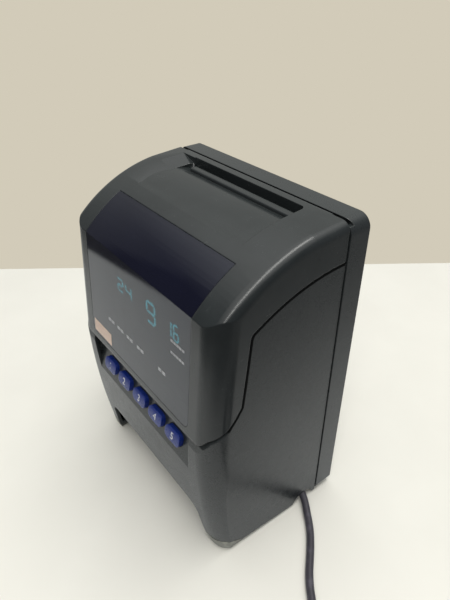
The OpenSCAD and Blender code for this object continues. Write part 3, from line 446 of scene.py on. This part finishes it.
def lead_path():
    t = Vector((0.75, -0.66, 0.0)).normalized()
    side = Vector((-t.y, t.x, 0.0))
    pts = [Vector((EXIT[0] + a, EXIT[1] + b, c)) for a, b, c in STEPS]
    last = Vector((pts[-1].x, pts[-1].y, 0.0))
    entry = last + t * ENTRY + Vector((0, 0, CORD_D / 2 + 1))
    pts += [last + t * MIDWAY + Vector((0, 0, LIE + 0.4)), entry]
    q = [2 * pts[0] - pts[1]] + pts + [2 * entry - pts[-2]]
    line = []
    for i in range(1, len(q) - 2):
        a, b, c, d = q[i - 1:i + 3]
        for k in range(CURVE_STEPS):
            u = k / CURVE_STEPS
            bend, twist = 2 * a - 5 * b + 4 * c - d, 3 * b - a - 3 * c + d
            line.append(0.5 * (2 * b + (c - a) * u + bend * u * u + twist * u ** 3))
    r1 = COIL_R0 + TURNS * COIL_PITCH
    centre = entry + side * r1
    a0 = math.atan2(-side.y, -side.x)
    n_in, n_up = round(TURNS * RINGS), RINGS // 4
    n_all = 2 * n_in + n_up - round(LAST_ARC * RINGS)
    for k in range(n_all + 1):
        r, z = COIL_R0, entry.z
        if k <= n_in:
            r += COIL_PITCH * (n_in - k) / RINGS
        elif k <= n_in + n_up:
            z += COIL_PITCH * (1 - COS(math.pi * (k - n_in) / n_up)) / 2
        else:
            r += COIL_PITCH * (k - n_in - n_up) / RINGS
            z += COIL_PITCH
        a = a0 + 2 * math.pi * k / RINGS
        line.append(Vector((centre.x + r * COS(a), centre.y + r * SIN(a), z)))
    a = a0 + 2 * math.pi * n_all / RINGS + math.pi / 2
    end = line[-1]
    ahead = Vector((COS(a), SIN(a), 0.0))
    line += [end + ahead * (TAIL * k / TAIL_STEPS) for k in range(1, TAIL_STEPS + 1)]
    return [p * MM for p in line]


def tube(name, path, r, finish, body, sides=14):
    verts, faces = [], []
    for i, p in enumerate(path):
        t = (path[min(i + 1, len(path) - 1)] - path[max(i - 1, 0)]).normalized()
        s = t.cross(Vector((0, 0, 1))).normalized()
        u = s.cross(t)
        for k in range(sides):
            a = 2 * math.pi * k / sides
            verts.append(p + (s * COS(a) + u * SIN(a)) * r)
    for i in range(len(path) - 1):
        for k in range(sides):
            a, b = i * sides + k, i * sides + (k + 1) % sides
            faces.append((a, a + sides, b + sides, b))
    faces.append(tuple(range(sides)))
    faces.append(tuple((len(path) - 1) * sides + k for k in range(sides))[::-1])
    return piece(name, verts, faces, finish, body, True)


def lay_lead():
    path = lead_path()
    length = sum((b - a).length for a, b in zip(path, path[1:]))
    lead = tube("lead", path, CORD_D / 2 * MM, FINISH["cord_grey"], "case")
    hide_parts("cord", "cord_coil")
    tuple(path[0])
    [tuple(p) for p in path]


lay_lead()


def taken(ob):
    """Mesh of an object as evaluated; the object goes."""
    me = bpy.data.meshes.new_from_object(ob.evaluated_get(bpy.context.evaluated_depsgraph_get()))
    bpy.data.objects.remove(ob)
    return me


# flat outlines, laid on a face by a function of (across, up, out) in millimetres
def bar(x0, x1, z0, z1):
    return [(x0, z0), (x1, z0), (x1, z1), (x0, z1)]


def raised(name, outlines, lay, thick, finish, body):
    """Closed thin plates with the given outlines, laid on a face."""
    verts, faces = [], []
    for pts in outlines:
        area = sum(a[0] * b[1] - b[0] * a[1] for a, b in zip(pts, pts[1:] + pts[:1]))
        pts = pts if area > 0 else pts[::-1]
        b0, n = len(verts), len(pts)
        verts += [lay(x, z, 0.0) for x, z in pts] + [lay(x, z, thick) for x, z in pts]
        faces.append(tuple(b0 + k for k in range(n))[::-1])
        faces.append(tuple(b0 + n + k for k in range(n)))
        faces += [(b0 + k, b0 + (k + 1) % n, b0 + n + (k + 1) % n, b0 + n + k) for k in range(n)]
    return piece(name, verts, faces, finish, body, False)


FRONT_Y, LEAN_Z, LEAN = -53.5, 100.0, math.radians(5.3)
TUBE_FACE, REAR_Y = -42.6, 53.5
FILM, GLASS_FILM = 0.01, 0.02


def on_window(x, z, out):
    return Vector((x, FRONT_Y + (z - LEAN_Z) * math.tan(LEAN) - out - FILM, z)) * MM


def on_tube(x, z, out):
    return Vector((x, TUBE_FACE - out - GLASS_FILM, z)) * MM


def on_rear(x, z, out):
    return Vector((-x, REAR_Y + out + FILM, z)) * MM


SEGMENTS = {"a": ((0, 2), (1, 2)), "b": ((1, 2), (1, 1)), "c": ((1, 1), (1, 0)), "d": ((0, 0), (1, 0)),
            "e": ((0, 1), (0, 0)), "f": ((0, 2), (0, 1)), "g": ((0, 1), (1, 1))}
FIGURES = {"1": "bc", "2": "abdeg", "4": "bcfg", "6": "acdefg", "9": "abcdfg"}
SLANT, SEGMENT_GAP = 0.12, 0.62
# what the display shows: figures, left edge, pitch, foot, width, height, stroke
DISPLAY = (("24", -29.5, 10.4, 154.0, 6.6, 9.2, 1.3),
           ("9", 5.6, 0.0, 150.4, 8.6, 15.0, 1.9),
           ("16", 27.2, 7.2, 153.8, 4.6, 11.2, 1.4))


def figure(ch, x, z, w, h, t):
    """Outlines of one segment figure with its lower left corner at x, z."""
    out = []
    for s in FIGURES[ch]:
        (ax, az), (bx, bz) = SEGMENTS[s]
        a, b = Vector((ax * w, az * h / 2)), Vector((bx * w, bz * h / 2))
        d = (b - a).normalized()
        n = Vector((-d.y, d.x)) * t / 2
        a, b = a + d * t * SEGMENT_GAP, b - d * t * SEGMENT_GAP
        hexa = [a - d * t / 2, a - n, b - n, b + d * t / 2, b + n, a + n]
        out.append([(x + p.x + p.y * SLANT, z + p.y) for p in hexa])
    return out


def light_display():
    rows = []
    for text, left, pitch, foot, w, h, stroke in DISPLAY:
        for i, ch in enumerate(text):
            rows += figure(ch, left + pitch * i, foot, w, h, stroke)
    glow = glowing("display_glow", (0.05, 0.55, 0.66), 9.0)
    raised("display_figures", rows, on_tube, 0.1, glow, "case")


WHITE_INK = printed("white_ink", (0.8, 0.81, 0.82))
# marks on the window: left edge, middle height, blocks, block width, line height
WORD_Z, LINE_X = 132.7, 40.6
MARKS = [(x, WORD_Z, 2, w, 1.0) for x, w in ((-33.5, 3.4), (-21.5, 3.3), (-9.4, 3.2), (3.4, 3.3), (27.7, 3.3))]
MARKS += [(LINE_X, z, 5, 2.1, 0.7) for z in (160.0, 152.5)]
BLOCK_PITCH, STROKE_HALF, STROKE_AT = 1.28, 0.32, 0.62
WINDOW_LABEL, REAR_LABEL = (-56.0, -31.5, 111.4, 120.6), (-27.0, 27.0, 36.0, 62.0)


def print_window():
    marks = []
    for x0, z, n, w, h in MARKS:
        for k in range(n):
            a = x0 + k * w * BLOCK_PITCH
            for t in (-STROKE_AT, STROKE_AT):
                marks.append(bar(a, a + w, z + t * h - STROKE_HALF * h, z + t * h + STROKE_HALF * h))
    raised("window_marks", marks, on_window, 0.05, WHITE_INK, "hood_body")
    label = printed("blank_label", (0.97, 0.74, 0.6), 0.5)
    raised("window_label", [bar(*WINDOW_LABEL)], on_window, 0.08, label, "hood_body")


POCKET_Y, POCKET_Z, SLOPE = -53.139, 76.0, math.radians(15.0)
KEY_PITCH, KEY_V, KEY_RISE, KEY_CROWN = 20.0, 11.9925, 3.0, 24.0
KEYS, NUMBER_SIZE, NUMBER_HALF = 5, 7.0, 0.03


def on_key(k):
    """Laying function for the top of the key k pitches from the middle one."""
    def lay(u, v, out):
        n = KEY_RISE - KEY_CROWN + math.sqrt(KEY_CROWN ** 2 - v * v) + out + FILM
        w = KEY_V + v
        y = POCKET_Y + w * SIN(SLOPE) - n * COS(SLOPE)
        z = POCKET_Z + w * COS(SLOPE) + n * SIN(SLOPE)
        return Vector((k * KEY_PITCH + u, y, z)) * MM
    return lay


def number_keys():
    """A plain number on each key, cut from the built-in letter shapes and bent over the key's crown."""
    for k in range(KEYS):
        curve = bpy.data.curves.new("number", "FONT")
        curve.body = str(k + 1)
        curve.size = NUMBER_SIZE
        curve.align_x, curve.align_y = "CENTER", "CENTER"
        curve.extrude = NUMBER_HALF
        curve.resolution_u = 4
        ob = bpy.data.objects.new("number", curve)
        bpy.context.scene.collection.objects.link(ob)
        got = taken(ob)
        lay = on_key(k - KEYS // 2)
        mid = (min(v.co.y for v in got.vertices) + max(v.co.y for v in got.vertices)) / 2
        verts = [lay(v.co.x, v.co.y - mid, v.co.z + NUMBER_HALF) for v in got.vertices]
        faces = [tuple(f.vertices) for f in got.polygons]
        piece("key_number_%d" % (k + 1), verts, faces, WHITE_INK, "key_%d_body" % (k + 1))


# rubber shoes round the toes of the front legs, set against the legs' own faces
TOE_MID, TOE_COLUMNS, TOE_TOP, TOE_LOW = Vector((64.0, -30.0, 0.0)), 30, 11.0, 5.5
TOE_SWEEP, TOE_REACH, TOE_PROBE = 97.0, 40.0, 6.5
FALL_Y, FALL_RUN = -40.0, 10.0
SHOE_OUT, SHOE_UNDERCUT, SHOE_WALL = 0.25, 1.8, 1.6
SHOE_BEND, SHOE_BAND, SHOE_FOOT = 5.4, 0.3, 0.1


def toe_face(tree, angle, z):
    """Point of the right leg's outer face at an angle round the toe, and the way out of it."""
    out = Vector((COS(angle), SIN(angle), 0.0))
    at = Vector((TOE_MID.x, TOE_MID.y, z))
    hit = tree.ray_cast((at + out * TOE_REACH) * MM, -out)[0]
    return hit / MM, out


def toe_shoes():
    data = frame["nodes"]["lower_case"].data
    tree = BVHTree.FromPolygons([v.co for v in data.vertices],
                                [tuple(f.vertices) for f in data.polygons])
    rings = []
    for k in range(TOE_COLUMNS):
        angle = math.radians(-TOE_SWEEP + TOE_SWEEP * k / (TOE_COLUMNS - 1))
        low, out = toe_face(tree, angle, TOE_PROBE)
        fall = min(1.0, max(0.0, (low.y - FALL_Y) / FALL_RUN))
        top = TOE_TOP + (TOE_LOW - TOE_TOP) * fall
        high = toe_face(tree, angle, max(top, TOE_PROBE))[0]
        bend = min(SHOE_BEND, top - SHOE_BAND)
        ring = []
        for p, z, off in ((high, top, SHOE_OUT), (low, bend, SHOE_OUT), (low, SHOE_FOOT, -SHOE_UNDERCUT),
                          (low, SHOE_FOOT, -SHOE_UNDERCUT - SHOE_WALL), (high, top, SHOE_OUT - SHOE_WALL)):
            q = p + out * off
            ring.append(Vector((q.x, q.y, z)))
        rings.append(ring)
    n = len(rings[0])
    for side, name in ((1, "toe_shoe_right"), (-1, "toe_shoe_left")):
        verts = [Vector((v.x * side, v.y, v.z)) * MM for ring in rings for v in ring]
        faces = [(i * n + k, i * n + (k + 1) % n, (i + 1) * n + (k + 1) % n, (i + 1) * n + k)
                 for i in range(TOE_COLUMNS - 1) for k in range(n)]
        faces += [tuple(range(n))[::-1], tuple((TOE_COLUMNS - 1) * n + k for k in range(n))]
        piece(name, verts, [f[::side] for f in faces], BY_NODE["rubber_feet"], "case", False)


# painted shade in the seam: a matt black strip clipped over the side edges of the lower case, under the hood,
# darkens the gap
SHADE_STRIP_LINE = [(-40.0, 117.5), (-34.6, 124.0), (-30.5, 130.0), (-27.6, 151.5), (-25.0, 173.0), (-23.8, 175.3)]
SHADE_STRIP_STEPS = 24
SEAM_CY, SEAM_CZ, SEAM_R, SIDE_X = 37.5, 74.5, 118.0, 79.5
SHADE_STRIP_SECTION = ((-1.9, 0.02), (0.01, 0.02), (0.01, -0.75), (0.07, -0.75), (0.07, 0.62), (-1.9, 0.62))


def seam_shade_strips():
    line = [Vector(p) for p in SHADE_STRIP_LINE]
    first = math.atan2(line[-1].y - SEAM_CZ, line[-1].x - SEAM_CY)
    for k in range(1, SHADE_STRIP_STEPS + 1):
        a = first + (math.pi / 2 - first) * k / SHADE_STRIP_STEPS
        line.append(Vector((SEAM_CY + SEAM_R * COS(a), SEAM_CZ + SEAM_R * SIN(a))))
    verts, faces = [], []
    for side in (1, -1):
        b0 = len(verts)
        for i, p in enumerate(line):
            d = (line[min(i + 1, len(line) - 1)] - line[max(i - 1, 0)]).normalized()
            up = Vector((-d.y, d.x))
            for out, t in SHADE_STRIP_SECTION:
                q = p + up * t
                verts.append(Vector((side * (SIDE_X + out), q.x, q.y)) * MM)
        n, m = len(line), len(SHADE_STRIP_SECTION)
        rows = [(b0 + i * m + k, b0 + i * m + (k + 1) % m,
                 b0 + (i + 1) * m + (k + 1) % m, b0 + (i + 1) * m + k)
                for i in range(n - 1) for k in range(m)]
        rows += [tuple(b0 + k for k in range(m))[::-1], tuple(b0 + (n - 1) * m + k for k in range(m))]
        faces += [f[::-side] for f in rows]
    # near-black and hardly shiny, so the seam gap reads dark: painted shade
    black = rubbery("painted_seam_shade", (0.004, 0.0045, 0.0045), 0.9, Specular_IOR_Level=0.1)
    piece("seam_shade_strips", verts, faces, black, "case", False)


light_display()
toe_shoes()
seam_shade_strips()
print_window()
number_keys()
raised("rear_label", [bar(*REAR_LABEL)], on_rear, 0.1,
       printed("silver_label", (0.5, 0.5, 0.49), 0.4), "case")


# rows of small pins, from one Geometry Nodes tree
def pin_row_tree():
    tree = bpy.data.node_groups.new("pin_row", "GeometryNodeTree")
    for name, kind in (("Count", "NodeSocketInt"), ("Start", "NodeSocketVector"), ("Step", "NodeSocketVector"),
                       ("Pin Size", "NodeSocketVector"), ("Finish", "NodeSocketMaterial")):
        tree.interface.new_socket(name, in_out="INPUT", socket_type=kind)
    tree.interface.new_socket("Pins", in_out="OUTPUT", socket_type="NodeSocketGeometry")
    made = {k: tree.nodes.new(n) for k, n in (
        ("in", "NodeGroupInput"), ("line", "GeometryNodeMeshLine"), ("pin", "GeometryNodeMeshCube"),
        ("set", "GeometryNodeInstanceOnPoints"), ("real", "GeometryNodeRealizeInstances"),
        ("finish", "GeometryNodeSetMaterial"), ("out", "NodeGroupOutput"))}
    made["line"].mode = "OFFSET"
    for a, b in ((("in", "Count"), ("line", "Count")), (("in", "Start"), ("line", "Start Location")),
                 (("in", "Step"), ("line", "Offset")), (("in", "Pin Size"), ("pin", "Size")),
                 (("line", "Mesh"), ("set", "Points")), (("pin", "Mesh"), ("set", "Instance")),
                 (("set", "Instances"), ("real", "Geometry")), (("real", "Geometry"), ("finish", "Geometry")),
                 (("in", "Finish"), ("finish", "Material")), (("finish", "Geometry"), ("out", "Pins"))):
        tree.links.new(made[a[0]].outputs[a[1]], made[b[0]].inputs[b[1]])
    return tree


PIN_ROW = pin_row_tree()


def pin_rows(name, rows, finish, body):
    """One piece from rows of (count, start, step, pin size), in millimetres."""
    verts, faces = [], []
    for count, start, step, size in rows:
        ob = bpy.data.objects.new("row", bpy.data.meshes.new("row"))
        bpy.context.scene.collection.objects.link(ob)
        mod = ob.modifiers.new("pins", "NODES")
        mod.node_group = PIN_ROW
        values = {"Count": count, "Start": [c * MM for c in start], "Step": [c * MM for c in step],
                  "Pin Size": [c * MM for c in size], "Finish": finish}
        for item in PIN_ROW.interface.items_tree:
            if item.in_out == "INPUT":
                mod[item.identifier] = values[item.name]
        got = taken(ob)
        b = len(verts)
        verts += [v.co.copy() for v in got.vertices]
        faces += [tuple(b + i for i in f.vertices) for f in got.polygons]
    piece(name, verts, faces, finish, body, False)


# chips on the main board (left, right, foot, top, legs a side) and sizes of the pins
CHIPS = ((-10, 10, 84, 104, 12), (-36, -22, 92, 104, 8))
LEG, TUBE_LEAD, JOINT = (0.7, 1.0, 1.6), (0.6, 0.5, 2.2), (1.3, 0.6, 1.3)
BOARD, LEG_END, LEG_OUT, LEG_RISE = 1.6, 1, 0.7, 0.55
LEADS, LEAD_SPAN, LEAD_OUT, LEAD_GAP = 24, 84, 0.9, 0.02
JOINTS, JOINT_X, JOINT_PITCH, JOINT_IN, JOINT_RISE = 20, -47.5, 5, 3, 0.25


def stuff_boards():
    tinned = FINISH["steel"]
    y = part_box("main_board")[0].y / MM + BOARD
    chips = []
    for x0, x1, z0, z1, n in CHIPS:
        step = (x1 - x0 - 2 * LEG_END) / (n - 1)
        for z in (z0 - LEG_OUT, z1 + LEG_OUT):
            chips.append((n, (x0 + LEG_END, y + LEG_RISE, z), (step, 0, 0), LEG))
    pin_rows("chip_legs", chips, tinned, "case")
    lo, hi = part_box("display_tube")
    rows = [(LEADS, (-LEAD_SPAN / 2, hi.y / MM + LEAD_GAP, z), (LEAD_SPAN / (LEADS - 1), 0, 0), TUBE_LEAD)
            for z in (lo.z / MM - LEAD_OUT, hi.z / MM + LEAD_OUT)]
    pin_rows("tube_leads", rows, tinned, "case")
    b0, b1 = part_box("display_board")
    rows = [(JOINTS, (JOINT_X, b1.y / MM + JOINT_RISE, z), (JOINT_PITCH, 0, 0), JOINT)
            for z in (b0.z / MM + JOINT_IN, b1.z / MM - JOINT_IN)]
    pin_rows("solder_joints", rows, tinned, "case")


stuff_boards()


# stage
TABLE_FAR, TABLE_NEAR, TABLE_WIDE = 0.556, 1.6, 1.6
EDGE_Y, EDGE_X, EDGE_SLOPE = -0.244, -0.194, -0.162


def make_table():
    """Pale table; bounced rays see it end at its front edge, and darken at the right and under the camera."""
    m = Finish("table")
    x, y, _ = m.axes()
    pale = m.mix(m.noise(9.0, 5.0).ramp(0.3, 0.75), (0.765, 0.755, 0.695), (0.80, 0.79, 0.73))
    front = (EDGE_Y + (x - EDGE_X) * EDGE_SLOPE - y).ramp(0.0, 0.012)
    right = x.ramp(0.09, 0.3) * 0.8
    near = (x * 0.56 - y * 0.83).ramp(0.2, 0.42)
    unseen = 1.0 - m.node("ShaderNodeLightPath", out="Is Camera Ray")
    bounced = m.mix((front + right + near).clip(), (0.715, 0.73, 0.72), (0.03, 0.03, 0.032))
    m.done(m.mix(unseen, pale, bounced), m.noise(40.0) * 0.1 + 0.5, m.noise(700.0), 1.0e-5)
    base = Vector((CAM_AT.x, CAM_AT.y, 0.0))
    far, near, wide = base + VIEW * TABLE_FAR, base - VIEW * TABLE_NEAR, SIDE * TABLE_WIDE
    me = bpy.data.meshes.new("table")
    corners = (near - wide, near + wide, far + wide, far - wide)
    me.from_pydata([tuple(v) for v in corners], [], [(0, 1, 2, 3)])
    me.materials.append(m.m)
    ob = bpy.data.objects.new("table", me)
    bpy.context.scene.collection.objects.link(ob)


def ceiling_tube(at, size, turn, power):
    data = bpy.data.lights.new("ceiling_tube", "AREA")
    data.shape = "RECTANGLE"
    data.size, data.size_y = size
    data.energy = power
    data.color = (1.0, 0.985, 0.95)
    ob = bpy.data.objects.new("ceiling_tube", data)
    ob.location = at
    ob.rotation_euler = (0.0, 0.0, turn)
    bpy.context.scene.collection.objects.link(ob)


WALL, CEILING, DARK_SIDE = (0.645, 0.597, 0.485), (1.35, 1.35, 1.32), (0.07, 0.07, 0.08)


def make_light():
    """Room that the part mirrors: dim walls, bright ceiling and one long tube; the camera sees a plain wall."""
    world = bpy.data.worlds.new("room")
    bpy.context.scene.world = world
    world.use_nodes = True
    w = Net(world.node_tree)
    co = w.node("ShaderNodeTexCoord", out="Generated")
    x, y, z = [w.node("ShaderNodeSeparateXYZ", None, co, out=i) for i in range(3)]
    dark = (x * 0.5 - y * 0.866).ramp(-0.03, 0.03)
    ahead = (x * VIEW.x + y * VIEW.y).ramp(0.3, 0.75)
    walls = w.mix(ahead, (0.15, 0.15, 0.165), (0.47, 0.475, 0.45))
    room = w.mix(z.ramp(0.52, 0.88), w.mix(dark, walls, DARK_SIDE), CEILING)
    path = [w.node("ShaderNodeLightPath", out=s) for s in ("Is Camera Ray", "Is Transmission Ray")]
    seen = (path[0] + path[1]).clip()
    bg = world.node_tree.nodes["Background"]
    w.feed(bg.inputs["Color"], w.mix(seen, room, WALL))
    bg.inputs["Strength"].default_value = 1.0
    ceiling_tube((0.5, -0.4, 1.6), (0.34, 2.6), math.radians(24.0), 18.0)


make_table()
make_light()
bpy.context.scene.view_settings.view_transform = "Standard"
